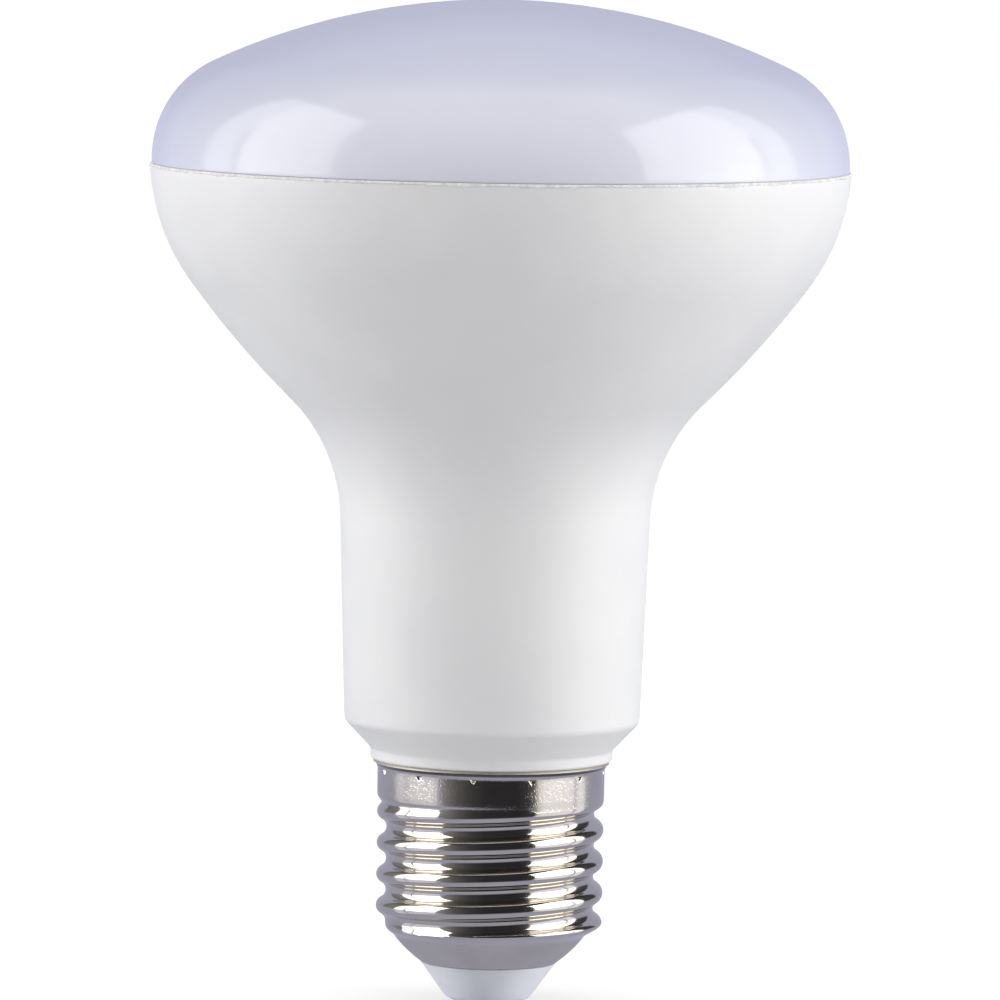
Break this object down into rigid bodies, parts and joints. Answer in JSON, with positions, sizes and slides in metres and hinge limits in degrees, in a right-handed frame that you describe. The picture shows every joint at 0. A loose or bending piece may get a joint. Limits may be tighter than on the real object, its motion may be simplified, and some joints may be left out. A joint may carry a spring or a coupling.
{
  "type": "led light bulb",
  "caption": "Reflector-shaped LED lamp: a shallow opal diffuser on a flared white housing that narrows to a neck with a metal screw cap, for use in a screw lampholder.",
  "frame": {"origin": "middle of the flat contact face under the cap", "axes": "+Z along the lamp, from the contact to the top of the diffuser; the driver board lies across Y"},
  "size_m": [0.08, 0.08, 0.115],
  "materials": {
    "opal_cover": "moulded opal polycarbonate, glossy",
    "white_sealant": "silicone bead, rough where squeezed out",
    "white_housing": "moulded white PBT, satin",
    "nickel_shell": "rolled sheet, bright nickel",
    "pale_insulator": "moulded pale plastic",
    "contact_brass": "pressed brass",
    "pressed_aluminium": "pressed sheet",
    "white_board": "white solder mask on aluminium",
    "zinc_screws": "zinc plated",
    "natural_nylon": "moulded nylon",
    "tinned_brass": "tinned",
    "glass_fibre_board": "green solder mask",
    "resistor_lacquer": "lacquered",
    "dipped_resin": "dipped resin",
    "can_sleeve": "shrunk sleeve",
    "ferrite": "sintered, matt",
    "winding_tape": "polyester tape",
    "chip_resin": "moulded resin",
    "chip_ceramic": "glazed chip",
    "live_sleeve": "extruded sleeve",
    "neutral_sleeve": "extruded sleeve",
    "led_resin": "phosphor resin in a white frame"
  },
  "bodies": {
    "root": {"diffuser_dome": "opal_cover", "rim_sealant": "white_sealant", "housing": "white_housing", "screw_shell": "nickel_shell", "cap_insulator": "pale_insulator", "centre_contact": "contact_brass", "heat_spreader": "pressed_aluminium", "led_board": "white_board", "board_screws": "zinc_screws", "led_socket": "natural_nylon", "output_pins": "tinned_brass", "driver_board": "glass_fibre_board", "fuse_resistor": "resistor_lacquer", "film_capacitor": "dipped_resin", "bulk_capacitor": "can_sleeve", "output_capacitor": "can_sleeve", "transformer_core": "ferrite", "transformer_coil": "winding_tape", "bridge_rectifier": "chip_resin", "driver_chip": "chip_resin", "output_diode": "chip_resin", "chip_resistors": "chip_ceramic", "live_wire": "live_sleeve", "neutral_wire": "neutral_sleeve", "led_01": "led_resin", "led_02": "led_resin", "led_03": "led_resin", "led_04": "led_resin", "led_05": "led_resin", "led_06": "led_resin", "led_07": "led_resin", "led_08": "led_resin", "led_09": "led_resin", "led_10": "led_resin", "led_11": "led_resin", "led_12": "led_resin", "led_13": "led_resin", "led_14": "led_resin", "led_15": "led_resin", "led_16": "led_resin", "led_17": "led_resin", "led_18": "led_resin"}
  },
  "joints": []
}
